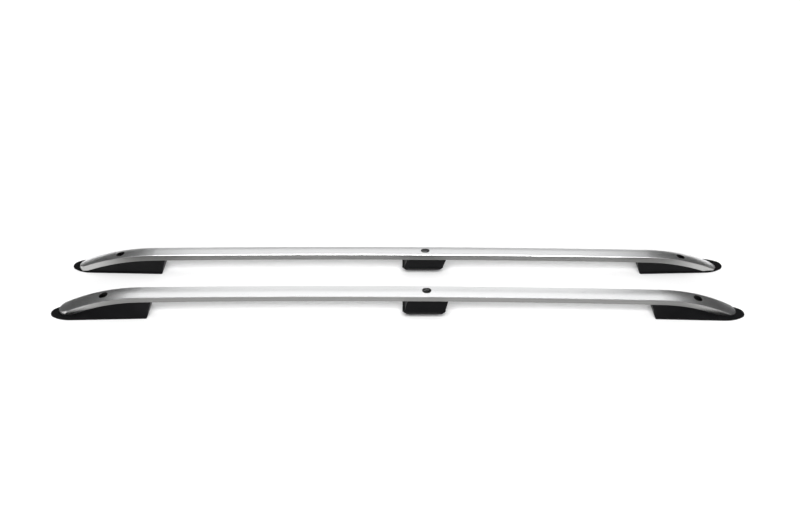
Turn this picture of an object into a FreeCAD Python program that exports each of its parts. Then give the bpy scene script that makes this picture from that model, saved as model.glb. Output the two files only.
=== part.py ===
import FreeCAD, Part
import math
import os

# Pair of roof side rails, modelled as they stand on a floor, in millimetres.
# X runs along the rails with the front of the car at -X, Z is up, and the origin
# is on the floor midway between the rails. The right-hand rail is built at +Y
# with its outer side facing +Y, and the left-hand rail is its mirror image.

# Overall sizes
overall_length = 2000.0
rail_spacing = 184.0

# Rail section: a flat hollow extrusion with a crowned top
rail_width = 44.0
rail_side_height = 18.3
rail_crown = 2.2
rail_wall = 2.5
rail_top_edge = 1.3
rail_roll_deg = 5.5

# Rail line: a slight arch with a tighter bend down to each nose. A seat margin is
# how far from the end of the foot the rail's underside comes down to the flange.
arch_radius = 33000.0
arch_top_x = -164.0
arch_clearance = 51.0
front_bend_radius = 550.0
front_seat_margin = 55.8
rear_bend_radius = 475.0
rear_seat_margin = 71.2
bend_plane_lean_deg = 9.0

# Noses: where the silver ends inside the black rim
nose_rim = 22.5
nose_roundness = 30.0
nose_side_margin = 2.5
nose_rounding = 8.5
nose_ring_count = 4
nose_fullness = 0.75

# Feet: moulded shells with a flange, open underneath
foot_lip = 4.0
foot_lip_step = 3.0
foot_lip_edge = 1.2
foot_wall = 3.0
foot_outer_margin = 18.0
foot_inner_margin = 3.0
foot_corner_radius = 4.0
foot_end_lean = 15.5
foot_nose_length = 62.0
front_foot_length = 281.0
rear_foot_length = 261.0
foot_stations = 4
rib_thickness = 2.5
rib_recess = 1.5
end_rib_spacing = 42.0

# Middle foot, held clear of the floor by the arch of the rail
middle_foot_centre = 76.0
middle_foot_length = 124.0
middle_foot_base = 18.0
middle_foot_chamfer = 11.0
middle_foot_end_step = 4.0

# Fixing holes: an access hole in the crown above a sleeved bolt hole
front_hole_margin = 158.0
middle_hole_offset = 7.0
rear_hole_margin = 139.0
access_hole_length = 26.0
access_hole_width = 21.5
bolt_hole_diameter = 9.0
rail_bolt_hole_diameter = 10.0
sleeve_diameter = 14.0
sleeve_boss_diameter = 22.0

# Self-tapping screws that hold each foot to its rail
screw_diameter = 4.0
screw_clearance_hole = 4.4
screw_head_across = 7.0
screw_head_height = 2.4
screw_side_offset = 9.0
screw_boss_diameter = 10.0
screw_boss_depth = 8.0
screw_end_length = 6.0
end_screw_offsets = (36.0, 84.0)
middle_screw_offset = 38.0

# Working values
past = 60.0
tall = 200.0
steepest = 0.9
front_hole_x = front_hole_margin - overall_length / 2
middle_hole_x = middle_foot_centre + middle_hole_offset
rear_hole_x = overall_length / 2 - rear_hole_margin
lean = math.radians(bend_plane_lean_deg)
roll = math.radians(rail_roll_deg)
along = FreeCAD.Vector(1, 0, 0)
up = FreeCAD.Vector(0, 0, 1)
bend_axis = FreeCAD.Vector(0, math.cos(lean), math.sin(lean))
bend_up = FreeCAD.Vector(0, -math.sin(lean), math.cos(lean))
section_out = FreeCAD.Vector(0, math.cos(roll), -math.sin(roll))
section_up = FreeCAD.Vector(0, math.sin(roll), math.cos(roll))


def bend_frame(arch_centre, start_x, radius):
    """Centre, radius, start angle and start of the bend that leaves the arch at start_x."""
    angle = math.asin((start_x - arch_top_x) / arch_radius)
    normal = along * math.sin(angle) + bend_up * math.cos(angle)
    return arch_centre + normal * (arch_radius - radius), radius, angle, start_x


def point_on(frame, x, out, height):
    """Point at x on one arc of the rail, from its outward and upward place in the section."""
    centre, radius, _, _ = frame
    offset = section_out * out + section_up * height
    reach = radius + offset.dot(bend_up)
    rise = math.sqrt(reach ** 2 - (x - centre.x) ** 2)
    point = centre + bend_axis * offset.dot(bend_axis) + bend_up * rise
    return FreeCAD.Vector(x, point.y, point.z)


def arc_frames():
    """The arch, and the two bends that bring the rail's underside down to the flanges."""
    top = FreeCAD.Vector(arch_top_x, rail_spacing / 2 + rail_width / 2, arch_clearance)
    arch_centre = top - bend_up * arch_radius
    arcs = {"arch": (arch_centre, arch_radius, 0.0, arch_top_x)}
    ends = {"front": (-1, front_bend_radius, front_seat_margin), "rear": (1, rear_bend_radius, rear_seat_margin)}
    for name, (side, radius, margin) in ends.items():
        seat_x = side * (overall_length / 2 - margin)
        low_start = seat_x - side * radius * steepest
        high_start = seat_x
        for _ in range(50):
            start_x = (low_start + high_start) / 2
            arcs[name] = bend_frame(arch_centre, start_x, radius)
            if point_on(arcs[name], seat_x, -rail_width / 2, 0).z > foot_lip:
                high_start = start_x
            else:
                low_start = start_x
    return arcs


frames = arc_frames()


def section_point(x, out, height):
    """Point of the rail at x, from its outward and upward place in the section."""
    for name in ("front", "rear"):
        start_x = frames[name][3]
        if x * start_x > start_x ** 2:
            return point_on(frames[name], x, out, height)
    return point_on(frames["arch"], x, out, height)


def underside(x, share=0.5, depth=0.0):
    """Point on the rail's underside at x, share 0 at its outer edge and 1 at its inner."""
    return section_point(x, -share * rail_width, -depth)


def x_where_underside_is(height, share, side):
    """Place on the front (-1) or rear (+1) bend where the underside has come down to height."""
    near = abs(frames["front" if side < 0 else "rear"][3])
    far = overall_length / 2
    for _ in range(40):
        middle = (near + far) / 2
        if underside(side * middle, share).z > height:
            near = middle
        else:
            far = middle
    return side * near


def section_face(inset, top_edge):
    """Crowned section at the top of the arch, set in from the rail's skin, top corners cut."""
    half = rail_width / 2 - inset
    crown_radius = ((rail_width / 2) ** 2 + rail_crown ** 2) / (2 * rail_crown)
    crown_centre = rail_side_height + rail_crown - crown_radius

    def place(out, height):
        corner = FreeCAD.Vector(arch_top_x, rail_spacing / 2 + rail_width / 2, arch_clearance)
        return corner + section_out * (out - rail_width / 2) + section_up * height

    def crown(out):
        return crown_centre + math.sqrt((crown_radius - inset) ** 2 - out ** 2)

    flat = half - top_edge
    arc_ends = [place(flat, crown(flat)), place(-flat, crown(flat))]
    points = [arc_ends[1]]
    if top_edge > 0:
        points.append(place(-half, crown(half) - top_edge))
    points += [place(-half, inset), place(half, inset)]
    if top_edge > 0:
        points.append(place(half, crown(half) - top_edge))
    points.append(arc_ends[0])
    edges = [Part.Arc(arc_ends[0], place(0, crown(0)), arc_ends[1]).toShape()]
    edges += [Part.LineSegment(a, b).toShape() for a, b in zip(points, points[1:])]
    return Part.Face(Part.Wire(edges))


def turned(face, name, angle):
    """Copy of a face turned about one of the bend centres by an angle in radians."""
    copy = face.copy()
    copy.rotate(frames[name][0], bend_axis, math.degrees(angle))
    return copy


def swept(face):
    """Solid that a section makes along the arch and both bends."""
    solids = []
    starts = {}
    for name in ("front", "rear"):
        centre, radius, start, _ = frames[name]
        side = -1 if name == "front" else 1
        end = math.asin((side * (overall_length / 2 + past / 4) - centre.x) / radius)
        starts[name] = turned(face, "arch", start)
        solids.append(starts[name].revolve(centre, bend_axis, math.degrees(end - start)))
    span = frames["rear"][2] - frames["front"][2]
    solids.append(starts["front"].revolve(frames["arch"][0], bend_axis, math.degrees(span)))
    return solids[0].fuse(solids[1:])


def space_above_underside(depth=0.0):
    """All the space above the rail's underside, or above a level depth below it."""
    half = rail_width / 2
    corner = FreeCAD.Vector(arch_top_x, rail_spacing / 2 + half, arch_clearance)
    points = [(-rail_width - past, -depth), (past, -depth), (past, past), (-rail_width - past, past)]
    points = [corner + section_out * a + section_up * b for a, b in points]
    return swept(Part.Face(Part.makePolygon(points + points[:1])))


def plan_axis(x):
    """Sideways place of the rail's underside at x, level with the floor it stands over."""
    return underside(x).y


def inner_end(side):
    """Where the front (-1) or rear (+1) foot's flange ends, towards the middle of the car."""
    length = front_foot_length if side < 0 else rear_foot_length
    return side * (overall_length / 2 - length)


def nose_frame(side):
    """Centre and slope of an end foot's outline, which follows the rail outwards."""
    inner_x = inner_end(side)
    centre_x = side * (overall_length / 2 - foot_nose_length)
    shift = (foot_outer_margin - foot_inner_margin) / 2
    slope = (plan_axis(centre_x) - plan_axis(inner_x)) / (centre_x - inner_x)
    return FreeCAD.Vector(centre_x, plan_axis(centre_x) + shift, 0), slope


def foot_half_width():
    return (rail_width + foot_outer_margin + foot_inner_margin) / 2


def nose_arcs(length, half):
    """Tip radius, flank radius and the angle at which they meet, for a rounded nose."""
    if abs(length - half) < 0.001:
        return half, half, math.pi / 4
    tip = half * (half / length) ** nose_fullness
    flank = (length ** 2 + half ** 2 - 2 * length * tip) / (2 * (half - tip))
    return tip, flank, math.asin((length - tip) / (flank - tip))


def nose_half_width(length, half, beyond):
    """Half width of a rounded nose at a place beyond the end of its straight sides."""
    tip, flank, meet = nose_arcs(length, half)
    if beyond <= flank * math.sin(meet):
        return half - flank + math.sqrt(flank ** 2 - beyond ** 2)
    return math.sqrt(max(0.0, tip ** 2 - (beyond - length + tip) ** 2))


def flange_edges(x, side, inset=0.0):
    """Sideways places of the inner and outer edge of an end foot's flange at x."""
    centre, slope = nose_frame(side)
    half = foot_half_width()
    beyond = side * (x - centre.x)
    if beyond > 0:
        half = nose_half_width(foot_nose_length, half, beyond)
    middle = centre.y + slope * (x - centre.x)
    return middle - half + inset, middle + half - inset


def rounded_outline(centre, forward, length, half, tail_x):
    """Closed outline with a three-arc nose in front and straight sides back to tail_x."""
    tip, flank, meet = nose_arcs(length, half)
    across = up.cross(forward)

    def place(ahead, aside):
        return centre + forward * ahead + across * aside

    def on_flank(angle, hand):
        return place(flank * math.sin(angle), hand * (half - flank + flank * math.cos(angle)))

    starts = [on_flank(0.0, hand) for hand in (1, -1)]
    meets = [on_flank(meet, hand) for hand in (1, -1)]
    tails = [p + forward * ((tail_x - p.x) / forward.x) for p in starts]
    return Part.Wire([
        Part.LineSegment(tails[0], starts[0]).toShape(),
        Part.Arc(starts[0], on_flank(meet / 2, 1), meets[0]).toShape(),
        Part.Arc(meets[0], place(length, 0), meets[1]).toShape(),
        Part.Arc(meets[1], on_flank(meet / 2, -1), starts[1]).toShape(),
        Part.LineSegment(starts[1], tails[1]).toShape(),
        Part.LineSegment(tails[1], tails[0]).toShape(),
    ])


def end_foot_plate(side):
    """Flange of an end foot: straight sides that run into a rounded nose."""
    centre, slope = nose_frame(side)
    inner_x = inner_end(side)
    forward = FreeCAD.Vector(side, side * slope, 0).normalize()
    outline = rounded_outline(centre, forward, foot_nose_length, foot_half_width(), inner_x)
    plate = Part.Face(outline).extrude(up * foot_lip)
    upright = [e for e in plate.Edges if abs(e.BoundBox.ZLength - foot_lip) < 1e-6
               and abs(e.BoundBox.Center.x - inner_x) < 1e-6]
    plate = plate.makeFillet(foot_corner_radius, upright)
    rim = [e for e in plate.Edges if e.BoundBox.ZMin > foot_lip - 1e-6]
    return plate.makeChamfer(foot_lip_edge, rim)


def foot_slice(x, edges, base, inset=0.0, drop=0.0):
    """Outline of a foot across the rail at x, from its flange up to the rail's lower edges."""
    inner_edge, outer_edge = edges
    level = base + foot_lip
    bottom = base + foot_lip / 2 if inset == 0 else base - foot_lip
    headroom = foot_lip if inset == 0 else 2 * drop
    outer = underside(x, 0.0, drop)
    inner = underside(x, 1.0, drop)
    outer_z = max(outer.z, level)
    inner_z = max(inner.z, level)
    outline = [
        (inner_edge + inset, bottom), (outer_edge - inset, bottom),
        (outer_edge - inset, level), (outer.y - inset, outer_z),
        (outer.y - inset, outer_z + headroom), (inner.y + inset, inner_z + headroom),
        (inner.y + inset, inner_z), (inner_edge + inset, level),
    ]
    points = [FreeCAD.Vector(x, y, z) for y, z in outline]
    return Part.makePolygon(points + points[:1])


def spaced(first, last, count):
    return [first + (last - first) * i / (count - 1) for i in range(count)]


def leaning_cut(x, base, side, keep_towards_rear):
    """Block beyond a foot's end face, which leans over towards the given side."""
    run = side * foot_end_lean / (arch_clearance - foot_lip)
    low = base - past
    high = base + tall
    ahead = -tall * 2 if keep_towards_rear else tall * 2
    points = [
        (x + run * (low - base), low), (x + run * (high - base), high),
        (x + run * (high - base) + ahead, high), (x + run * (low - base) + ahead, low),
    ]
    points = [FreeCAD.Vector(px, -tall, pz) for px, pz in points]
    return Part.Face(Part.makePolygon(points + points[:1])).extrude(FreeCAD.Vector(0, 4 * tall, 0))


def upright_cylinder(x, y, diameter, low, high):
    return Part.makeCylinder(diameter / 2, high - low, FreeCAD.Vector(x, y, low))


def cross_rib(x, base):
    return Part.makeBox(rib_thickness, tall * 2, tall, FreeCAD.Vector(x - rib_thickness / 2, -past, base + rib_recess))


def long_rib(x_from, x_to, y, base):
    start = FreeCAD.Vector(min(x_from, x_to), y - rib_thickness / 2, base + rib_recess)
    return Part.makeBox(abs(x_to - x_from), rib_thickness, tall, start)


def finished_foot(outer, cavity, base, hole_x, screw_xs, rib_xs):
    """Shell with its ribs, the boss for the bolt sleeve and the bosses for the screws."""
    hole_y = plan_axis(hole_x)
    inside = [cavity.common(cross_rib(x, base)) for x in rib_xs]
    inside.append(cavity.common(long_rib(cavity.BoundBox.XMin, cavity.BoundBox.XMax, hole_y, base)))
    inside.append(cavity.common(upright_cylinder(hole_x, hole_y, sleeve_boss_diameter, base, base + tall)))
    for x in screw_xs:
        seat = screw_seat(x)
        inside.append(cavity.common(upright_cylinder(x, screw_y(x), screw_boss_diameter, seat, seat + tall)))
    foot = outer.cut(cavity).fuse(inside)
    holes = [upright_cylinder(hole_x, hole_y, sleeve_diameter, base - past, base + tall)]
    for x in screw_xs:
        holes.append(upright_cylinder(x, screw_y(x), screw_clearance_hole, base - past, base + tall))
    return foot.cut(holes).removeSplitter()


def screw_y(x):
    """Sideways place of a foot's screws, inwards of the middle rib."""
    return plan_axis(x) - screw_side_offset


def screw_seat(x):
    """Height of the face that a screw's head bears on."""
    return underside(x).z - screw_boss_depth


def clear_of(x, places, distance):
    """Whether x lies further than distance from every place."""
    return all(abs(x - place) > distance for place in places)


def end_foot(side, above, above_inside):
    """Front (-1) or rear (+1) foot."""
    inner_x = inner_end(side)
    hole_x = front_hole_x if side < 0 else rear_hole_x
    start = inner_x - side * foot_end_lean * 2
    seat_x = x_where_underside_is(foot_lip, 0.0, side)
    last_x = x_where_underside_is(foot_lip, 1.0, side)
    stations = spaced(start, seat_x, foot_stations) + [last_x]
    slices = [foot_slice(x, flange_edges(x, side, foot_lip_step), 0.0) for x in stations]
    body = Part.makeLoft(slices, True, True)
    body = body.cut([above, leaning_cut(inner_x, 0.0, -side, side > 0)])
    outer = end_foot_plate(side).fuse(body)
    cavity_end = x_where_underside_is(foot_lip + 3 * foot_wall, 0.0, side)
    hollow = [foot_slice(x, flange_edges(x, side, foot_lip_step), 0.0, foot_wall, foot_wall)
              for x in spaced(start, cavity_end, foot_stations)]
    cavity = Part.makeLoft(hollow, True, True)
    end_wall = inner_x + side * foot_wall
    cavity = cavity.cut([above_inside, leaning_cut(end_wall, 0.0, -side, side > 0)])
    screw_xs = [hole_x - side * offset for offset in end_screw_offsets]
    rib_xs = [inner_x + side * end_rib_spacing * (i + 0.5) for i in range(8)]
    rib_xs = [x for x in rib_xs if side * x < side * cavity_end - end_rib_spacing / 4
              and clear_of(x, [hole_x], sleeve_boss_diameter / 2) and clear_of(x, screw_xs, screw_boss_diameter)]
    return finished_foot(outer, cavity, 0.0, hole_x, screw_xs, rib_xs)


def middle_foot(above, above_inside):
    """Middle foot: a raked block on a flange with cut corners."""
    base = middle_foot_base
    half_length = middle_foot_length / 2
    y_in = plan_axis(middle_foot_centre) + (foot_outer_margin - foot_inner_margin) / 2 - foot_half_width()
    y_out = y_in + 2 * foot_half_width()
    x_front = middle_foot_centre - half_length
    x_rear = middle_foot_centre + half_length
    cut = middle_foot_chamfer
    corners = [
        (x_front + cut, y_in), (x_rear - cut, y_in), (x_rear, y_in + cut), (x_rear, y_out - cut),
        (x_rear - cut, y_out), (x_front + cut, y_out), (x_front, y_out - cut), (x_front, y_in + cut),
    ]
    points = [FreeCAD.Vector(x, y, base) for x, y in corners]
    plate = Part.Face(Part.makePolygon(points + points[:1])).extrude(up * foot_lip)
    rim = [e for e in plate.Edges if e.BoundBox.ZMin > base + foot_lip - 1e-6]
    plate = plate.makeChamfer(foot_lip_edge, rim)
    ends = (x_front - past / 2, x_rear + past / 2)
    edges = (y_in + foot_lip_step, y_out - foot_lip_step)
    body = Part.makeLoft([foot_slice(x, edges, base) for x in ends], True, True)
    front_end = x_front + middle_foot_end_step
    rear_end = x_rear - middle_foot_end_step
    body = body.cut([above, leaning_cut(front_end, base, 1, True), leaning_cut(rear_end, base, 1, False)])
    outer = plate.fuse(body)
    hollow = [foot_slice(x, edges, base, foot_wall, foot_wall) for x in ends]
    cavity = Part.makeLoft(hollow, True, True)
    cavity = cavity.cut([above_inside, leaning_cut(front_end + foot_wall, base, 1, True),
                         leaning_cut(rear_end - foot_wall, base, 1, False)])
    screw_xs = [middle_hole_x - middle_screw_offset, middle_hole_x + middle_screw_offset]
    rib_xs = [middle_hole_x - middle_screw_offset / 2, middle_hole_x + middle_screw_offset / 2]
    return finished_foot(outer, cavity, base, middle_hole_x, screw_xs, rib_xs)


def nose_trim(side, inset):
    """Everything outside the rounded shape that a nose is formed to, set in by inset."""
    centre_x = side * (overall_length / 2 - nose_rim - nose_roundness)
    centre = FreeCAD.Vector(centre_x, plan_axis(centre_x), foot_lip)
    half = rail_width / 2 + nose_side_margin
    rings = []
    for share in spaced(0.0, 1.0, nose_ring_count):
        shrink = nose_rounding * share ** 2 + inset
        rings.append(rounded_outline(centre + up * (rail_side_height * share), along * side,
                                     nose_roundness - shrink, half - shrink / 2, centre_x - side * past))
    keep = Part.makeLoft(rings, True, True)
    corner = FreeCAD.Vector(min(centre_x, centre_x + side * past), centre.y - tall / 2, foot_lip)
    return Part.makeBox(past, tall, rail_side_height, corner).cut(keep)


def access_hole(x):
    """Obround cutter through the crown only."""
    y = plan_axis(x)
    low = underside(x).z + rail_side_height / 2
    straight = access_hole_length - access_hole_width
    radius = access_hole_width / 2
    ends = [Part.makeCylinder(radius, tall, FreeCAD.Vector(x + s * straight / 2, y, low)) for s in (-1, 1)]
    bridge = Part.makeBox(straight, access_hole_width, tall, FreeCAD.Vector(x - straight / 2, y - radius, low))
    return ends[0].fuse([ends[1], bridge]).removeSplitter()


def rail_profile(screw_places):
    """Bent hollow rail with closed noses that sit on the feet, and its holes."""
    skin = swept(section_face(0.0, rail_top_edge))
    skin = skin.cut([below_flange_tops(), nose_trim(-1, 0.0), nose_trim(1, 0.0)])
    void = swept(section_face(rail_wall, 0.0))
    rail = skin.cut(void.cut([nose_trim(-1, rail_wall), nose_trim(1, rail_wall)]))
    holes = []
    for x in (front_hole_x, middle_hole_x, rear_hole_x):
        middle = underside(x).z + rail_side_height / 2
        holes.append(access_hole(x))
        holes.append(upright_cylinder(x, plan_axis(x), rail_bolt_hole_diameter, middle - tall, middle))
    for x in screw_places:
        middle = underside(x).z + rail_side_height / 2
        holes.append(upright_cylinder(x, screw_y(x), screw_diameter, middle - tall, middle))
    return rail.cut(holes)


def bolt_sleeve(x, base):
    """Steel tube, cut to the rail's slope, that carries a bolt's clamping load past the plastic."""
    y = plan_axis(x)
    reach = sleeve_diameter / 2
    top = underside(x).z + sleeve_diameter
    tube = upright_cylinder(x, y, sleeve_diameter, base, top)
    middle = rail_width / 2
    corners = [section_point(x + dx, -middle + dy, 0) for dx, dy in
               ((-reach, -reach), (reach, -reach), (reach, reach))]
    slope_x = (corners[1] - corners[0]) * sleeve_diameter
    slope_y = (corners[2] - corners[1]) * sleeve_diameter
    low = corners[0] - slope_x / 2 - slope_y / 2
    outline = [low, low + slope_x, low + slope_x + slope_y, low + slope_y, low]
    cap = Part.Face(Part.makePolygon(outline)).extrude(up * tall)
    return tube.cut([upright_cylinder(x, y, bolt_hole_diameter, base, top), cap])


def foot_screw(x):
    """Thread-forming hexagon screw, up through a foot into the rail's lower wall."""
    y = screw_y(x)
    seat = screw_seat(x)
    shank = upright_cylinder(x, y, screw_diameter, seat, underside(x).z + rail_wall + screw_end_length)
    corner_radius = screw_head_across / 2 / math.cos(math.pi / 6)
    corners = [FreeCAD.Vector(x + corner_radius * math.cos(i * math.pi / 3),
                              y + corner_radius * math.sin(i * math.pi / 3), seat) for i in range(6)]
    head = Part.Face(Part.makePolygon(corners + corners[:1])).extrude(up * -screw_head_height)
    return shank.fuse(head)


def below_flange_tops():
    """All the space below the flanges' top faces, which the noses stand on."""
    low_corner = FreeCAD.Vector(-overall_length, -tall, foot_lip - tall)
    return Part.makeBox(overall_length * 2, tall * 4, tall, low_corner)


def right_rail_parts():
    above = space_above_underside().cut(below_flange_tops())
    above_inside = space_above_underside(foot_wall)
    screws = {
        "front": [front_hole_x + offset for offset in end_screw_offsets],
        "middle": [middle_hole_x - middle_screw_offset, middle_hole_x + middle_screw_offset],
        "rear": [rear_hole_x - offset for offset in end_screw_offsets],
    }
    parts = {
        "profile": rail_profile([x for xs in screws.values() for x in xs]),
        "front_foot": end_foot(-1, above, above_inside),
        "middle_foot": middle_foot(above, above_inside),
        "rear_foot": end_foot(1, above, above_inside),
        "front_bolt_sleeve": bolt_sleeve(front_hole_x, 0.0),
        "middle_bolt_sleeve": bolt_sleeve(middle_hole_x, middle_foot_base),
        "rear_bolt_sleeve": bolt_sleeve(rear_hole_x, 0.0),
    }
    for name, places in screws.items():
        parts[name + "_foot_screws"] = Part.makeCompound([foot_screw(x) for x in places])
    return parts


def main():
    os.makedirs("parts", exist_ok=True)
    for name, shape in right_rail_parts().items():
        shape.exportStep("parts/right_" + name + ".step")
        mirrored = shape.mirror(FreeCAD.Vector(0, 0, 0), FreeCAD.Vector(0, 1, 0))
        mirrored.exportStep("parts/left_" + name + ".step")


main()
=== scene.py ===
import math

import bpy
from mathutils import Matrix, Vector

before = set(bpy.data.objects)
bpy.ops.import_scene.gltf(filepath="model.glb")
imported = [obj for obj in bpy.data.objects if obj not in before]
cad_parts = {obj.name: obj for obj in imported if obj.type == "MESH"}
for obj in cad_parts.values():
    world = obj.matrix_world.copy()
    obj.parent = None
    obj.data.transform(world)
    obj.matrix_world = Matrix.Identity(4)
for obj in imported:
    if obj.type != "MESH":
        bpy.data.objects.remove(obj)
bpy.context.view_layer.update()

# Camera, from a pinhole fit to the outlines of both rails. Lengths are in metres.
camera_place = (0.00594, -1.89472, 1.62162)
camera_tilt = math.radians(51.0)
camera_roll = -0.0006
camera_lens = 37.52
camera_film_width = 36.0
camera_clip_start = 0.01

# Part of a noise's 0 to 1 that its tones are spread over
noise_spread = (0.3, 0.7)

# Profile: tones at the low and the high end of the grain
metal_top_tones = ((0.76, 0.765, 0.77, 1), (0.84, 0.842, 0.845, 1))
# The sides' tones are painted shade: a darker copy of the top's metal
metal_painted_side_shade_tones = ((0.24, 0.24, 0.235, 1), (0.29, 0.29, 0.285, 1))
# Painted light: the sides near the ends are lighter, standing in for a brighter reflection there
metal_painted_end_light_tones = ((0.46, 0.46, 0.455, 1), (0.54, 0.54, 0.535, 1))
# Painted shade: the hollow inside the profile is painted near black where it is enclosed
metal_painted_hollow_shade_tone = (0.012, 0.012, 0.012, 1)
metal_roughness = (0.27, 0.34)
metal_grain_stretch = (2.0, 420.0, 420.0)
metal_grain_scale = 3.0
painted_side_shade_to_top = (0.45, 0.62)  # upright share of the surface normal, from the sides' painted shade to the top's tone
shade_to_painted_end_light = (0.80, 0.93)  # distance along X from the middle, where the sides' painted shade turns to a painted lighter reflection
painted_hollow_shade_to_open = (0.22, 0.50)  # share of open air within painted_hollow_shade_reach, from the hollow's painted shade to the outside's tones
painted_hollow_shade_reach = 0.03

# Feet
plastic_tones = ((0.003, 0.003, 0.0034, 1), (0.0055, 0.0055, 0.006, 1))
plastic_sharp_edge_tone = (0.022, 0.022, 0.023, 1)
plastic_roughness = (0.36, 0.46)
plastic_specular = 0.10
plastic_grain_scale = 1400.0
plastic_cloud_scale = 14.0
plain_to_sharp_edge = (0.54, 0.66)  # pointiness

# Sleeves and screws
steel_tones = ((0.42, 0.43, 0.46, 1), (0.56, 0.56, 0.57, 1))
steel_roughness = (0.28, 0.42)
steel_cloud_scale = 260.0

# Floor: its glow grows from beside the rails to white further out, in an oval twice as long as deep
floor_reach = 40.0
floor_height = -0.0005
floor_colour = (0.86, 0.86, 0.86, 1)
glow_squeeze = (0.5, 1.0, 0.0)
glow_distance = (0.44, 0.72)
glow_levels = (0.08, 1.0)

# Flags: dark cards at both ends of the rails
flag_x = 1.9
flag_y = (-0.6, 3.4)
flag_height = 1.3
flag_colour = (0.07, 0.07, 0.07, 1)

# World: white horizon, dim ceiling
ceiling_rise = (0.08, 0.22)
ceiling_levels = (1.0, 0.10)

# Softboxes: name, place, aim, width, height, watts
softboxes = (
    ("key", (0.0, -1.25, 1.85), (0, 0, 0), 2.4, 0.9, 60.0),
    ("overhead", (0.0, 0.75, 2.3), (0, 0, 0), 3.9, 1.5, 22.0),
    ("behind", (0.0, 2.2, 1.55), (0, 0, 0.1), 3.1, 1.5, 14.0),
)

scene = bpy.context.scene
scene.view_settings.view_transform = "Standard"


def add_camera():
    data = bpy.data.cameras.new("camera")
    data.sensor_width = camera_film_width
    data.lens = camera_lens
    data.clip_start = camera_clip_start
    camera = bpy.data.objects.new("camera", data)
    camera.location = camera_place
    camera.rotation_euler = (camera_tilt, camera_roll, 0.0)
    scene.collection.objects.link(camera)
    scene.camera = camera


class Nodes:
    """Short ways to add nodes to a material or the world."""

    def __init__(self, tree):
        self.tree = tree
        tree.nodes.clear()

    def add(self, kind, **values):
        """New node, with values for its settings or its sockets."""
        node = self.tree.nodes.new(kind)
        for name, value in values.items():
            if hasattr(node, name):
                setattr(node, name, value)
            else:
                node.inputs[name].default_value = value
        return node

    def link(self, source, target):
        self.tree.links.new(source, target)

    def end(self, kind, shader):
        """Output node that takes the shader."""
        self.link(shader.outputs[0], self.add(kind).inputs["Surface"])


def material(name):
    made = bpy.data.materials.new(name)
    made.use_nodes = True
    return made, Nodes(made.node_tree)


def spread(nodes, noise, ends):
    """Colour or level that goes from one end to the other with a noise."""
    node = nodes.add("ShaderNodeValToRGB")
    for i, (place, value) in enumerate(zip(noise_spread, ends)):
        element = node.color_ramp.elements[i]
        element.position = place
        element.color = value if isinstance(value, tuple) else (value, value, value, 1.0)
    nodes.link(noise.outputs["Fac"], node.inputs["Fac"])
    return node.outputs["Color"]


def smooth_step(nodes, source, limits, levels=(0.0, 1.0)):
    """Value that goes smoothly from one level to the other between two limits."""
    step = nodes.add("ShaderNodeMapRange", interpolation_type="SMOOTHSTEP")
    for name, value in zip(("From Min", "From Max", "To Min", "To Max"), limits + levels):
        step.inputs[name].default_value = value
    nodes.link(source, step.inputs["Value"])
    return step.outputs["Result"]


def calculated(nodes, operation, *sources):
    node = nodes.add("ShaderNodeMath", operation=operation)
    for source, socket in zip(sources, node.inputs):
        nodes.link(source, socket)
    return node.outputs[0]


def part_of(nodes, vector, axis):
    """One part of a vector."""
    parts = nodes.add("ShaderNodeSeparateXYZ")
    nodes.link(vector, parts.inputs[0])
    return parts.outputs[axis]


def squeezed(nodes, vector, scale):
    node = nodes.add("ShaderNodeMapping", Scale=scale)
    nodes.link(vector, node.inputs["Vector"])
    return node.outputs["Vector"]


def noise_at(nodes, place, scale, detail):
    node = nodes.add("ShaderNodeTexNoise", Scale=scale, Detail=detail)
    nodes.link(place, node.inputs["Vector"])
    return node


def blend(nodes, factor, low, high):
    """Colour that goes from low to high with the factor; each may be a socket or a value."""
    node = nodes.add("ShaderNodeMix", data_type="RGBA")
    nodes.link(factor, node.inputs["Factor"])
    for name, value in (("A", low), ("B", high)):
        socket = [i for i in node.inputs if i.name == name and i.type == "RGBA"][0]
        if isinstance(value, tuple):
            socket.default_value = value
        else:
            nodes.link(value, socket)
    return [o for o in node.outputs if o.type == "RGBA"][0]


def rounded_normal(nodes, radius, grain, strength, distance):
    """Surface normal with softened edges and a fine bump."""
    edge = nodes.add("ShaderNodeBevel", samples=4, Radius=radius)
    bump = nodes.add("ShaderNodeBump", Strength=strength, Distance=distance)
    nodes.link(grain.outputs["Fac"], bump.inputs["Height"])
    nodes.link(edge.outputs["Normal"], bump.inputs["Normal"])
    return bump.outputs["Normal"]


def coat(nodes, tone, rough, normal, metallic):
    """Surface of a material; its shader comes back for a last setting."""
    shader = nodes.add("ShaderNodeBsdfPrincipled", Metallic=metallic)
    nodes.link(tone, shader.inputs["Base Color"])
    nodes.link(rough, shader.inputs["Roughness"])
    nodes.link(normal, shader.inputs["Normal"])
    nodes.end("ShaderNodeOutputMaterial", shader)
    return shader


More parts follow.
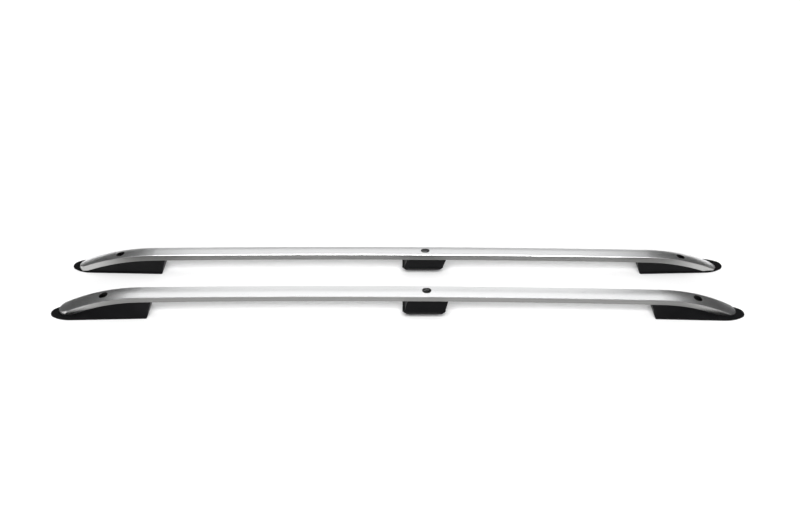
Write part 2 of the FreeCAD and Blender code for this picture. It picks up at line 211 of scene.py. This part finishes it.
def metal():
    """Satin anodised aluminium, drawn along X: bright top, sides darkened with painted shade, sides
    near the ends lightened with a painted reflection, hollow darkened with painted shade.
    """
    made, nodes = material("satin_anodised_aluminium")
    geometry = nodes.add("ShaderNodeNewGeometry")
    place = geometry.outputs["Position"]
    grain = noise_at(nodes, squeezed(nodes, place, metal_grain_stretch), metal_grain_scale, 4.0)
    top = spread(nodes, grain, metal_top_tones)
    # Sides: painted shade, a darker copy of the top's metal
    painted_shade_side = spread(nodes, grain, metal_painted_side_shade_tones)
    # Painted lighter reflection for the sides near the ends
    end = spread(nodes, grain, metal_painted_end_light_tones)
    upright = calculated(nodes, "ABSOLUTE", part_of(nodes, geometry.outputs["Normal"], "Z"))
    from_middle = calculated(nodes, "ABSOLUTE", part_of(nodes, place, "X"))
    # Sides near the ends take the painted lighter reflection, by distance along X
    low = blend(nodes, smooth_step(nodes, from_middle, shade_to_painted_end_light), painted_shade_side, end)
    # Upright faces take the top's tone, the rest keep the painted side shade
    outside = blend(nodes, smooth_step(nodes, upright, painted_side_shade_to_top), low, top)
    # Painted shade in the hollow: enclosed metal, found by ambient occlusion, turns near black
    air = nodes.add("ShaderNodeAmbientOcclusion", samples=6, Distance=painted_hollow_shade_reach)
    open_air = smooth_step(nodes, air.outputs["AO"], painted_hollow_shade_to_open)
    tone = blend(nodes, open_air, metal_painted_hollow_shade_tone, outside)
    normal = rounded_normal(nodes, 0.0007, grain, 0.08, 0.0001)
    coat(nodes, tone, spread(nodes, grain, metal_roughness), normal, 1.0)
    return made


def plastic():
    """Black moulded plastic with a fine spark-eroded grain and slightly lighter sharp edges."""
    made, nodes = material("black_moulded_plastic")
    geometry = nodes.add("ShaderNodeNewGeometry")
    grain = noise_at(nodes, geometry.outputs["Position"], plastic_grain_scale, 3.0)
    cloud = noise_at(nodes, geometry.outputs["Position"], plastic_cloud_scale, 2.0)
    # Sharp edges, found by pointiness, are slightly lighter
    sharp_edge = smooth_step(nodes, geometry.outputs["Pointiness"], plain_to_sharp_edge)
    tone = blend(nodes, sharp_edge, spread(nodes, cloud, plastic_tones), plastic_sharp_edge_tone)
    normal = rounded_normal(nodes, 0.0008, grain, 0.12, 0.0001)
    shader = coat(nodes, tone, spread(nodes, grain, plastic_roughness), normal, 0.0)
    shader.inputs["Specular IOR Level"].default_value = plastic_specular
    return made


def steel():
    """Zinc-plated steel."""
    made, nodes = material("zinc_plated_steel")
    place = nodes.add("ShaderNodeNewGeometry").outputs["Position"]
    cloud = noise_at(nodes, place, steel_cloud_scale, 3.0)
    normal = rounded_normal(nodes, 0.0003, cloud, 0.1, 0.00005)
    coat(nodes, spread(nodes, cloud, steel_tones), spread(nodes, cloud, steel_roughness), normal, 1.0)
    return made


def dress_nodes():
    finishes = {"profile": metal(), "foot": plastic(), "sleeve": steel(), "screws": steel()}
    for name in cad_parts:
        for ending, finish in finishes.items():
            if name.endswith(ending):
                bpy.data.objects[name].material_slots[0].material = finish


def add_sheet(name, corners, finish):
    """Flat four-cornered sheet for the studio."""
    mesh = bpy.data.meshes.new(name)
    mesh.from_pydata(corners, [], [(0, 1, 2, 3)])
    mesh.materials.append(finish)
    sheet = bpy.data.objects.new(name, mesh)
    scene.collection.objects.link(sheet)
    return sheet


def floor_paper():
    """White paper that glows to white further out, for the camera and in reflections."""
    made, nodes = material("floor_paper")
    place = nodes.add("ShaderNodeNewGeometry").outputs["Position"]
    distance = nodes.add("ShaderNodeVectorMath", operation="LENGTH")
    nodes.link(squeezed(nodes, place, glow_squeeze), distance.inputs[0])
    level = smooth_step(nodes, distance.outputs["Value"], glow_distance, glow_levels)
    path = nodes.add("ShaderNodeLightPath").outputs
    seen = calculated(nodes, "MAXIMUM", path["Is Camera Ray"], path["Is Glossy Ray"])
    glow = nodes.add("ShaderNodeEmission")
    nodes.link(calculated(nodes, "MULTIPLY", seen, level), glow.inputs["Strength"])
    total = nodes.add("ShaderNodeAddShader")
    nodes.link(nodes.add("ShaderNodeBsdfDiffuse", Color=floor_colour).outputs[0], total.inputs[0])
    nodes.link(glow.outputs[0], total.inputs[1])
    nodes.end("ShaderNodeOutputMaterial", total)
    return made


def add_floor():
    r = floor_reach
    floor = add_sheet("floor", [(-r, -r, 0), (r, -r, 0), (r, r, 0), (-r, r, 0)], floor_paper())
    floor.location.z = floor_height


def add_flags():
    """Dark cards at the rails' ends, which only their reflections show."""
    made, nodes = material("flag_black")
    nodes.end("ShaderNodeOutputMaterial", nodes.add("ShaderNodeBsdfDiffuse", Color=flag_colour))
    front, back = flag_y
    for name, x in (("flag_left", -flag_x), ("flag_right", flag_x)):
        corners = [(x, front, 0), (x, back, 0), (x, back, flag_height), (x, front, flag_height)]
        flag = add_sheet(name, corners, made)
        flag.visible_camera = False
        flag.visible_diffuse = False
        flag.visible_shadow = False


def add_world():
    """White horizon under a dim ceiling."""
    world = bpy.data.worlds.new("studio")
    world.use_nodes = True
    scene.world = world
    nodes = Nodes(world.node_tree)
    rise = part_of(nodes, nodes.add("ShaderNodeTexCoord").outputs["Generated"], "Z")
    light = nodes.add("ShaderNodeBackground", Color=(1, 1, 1, 1))
    nodes.link(smooth_step(nodes, rise, ceiling_rise, ceiling_levels), light.inputs["Strength"])
    nodes.end("ShaderNodeOutputWorld", light)


def add_softbox(name, place, aim, width, height, watts):
    data = bpy.data.lights.new(name, "AREA")
    data.shape = "RECTANGLE"
    data.size = width
    data.size_y = height
    data.energy = watts
    lamp = bpy.data.objects.new(name, data)
    lamp.location = place
    lamp.rotation_euler = (Vector(aim) - Vector(place)).to_track_quat("-Z", "Y").to_euler()
    lamp.visible_camera = False
    scene.collection.objects.link(lamp)


add_camera()
add_world()
add_floor()
add_flags()
for softbox in softboxes:
    add_softbox(*softbox)
dress_nodes()
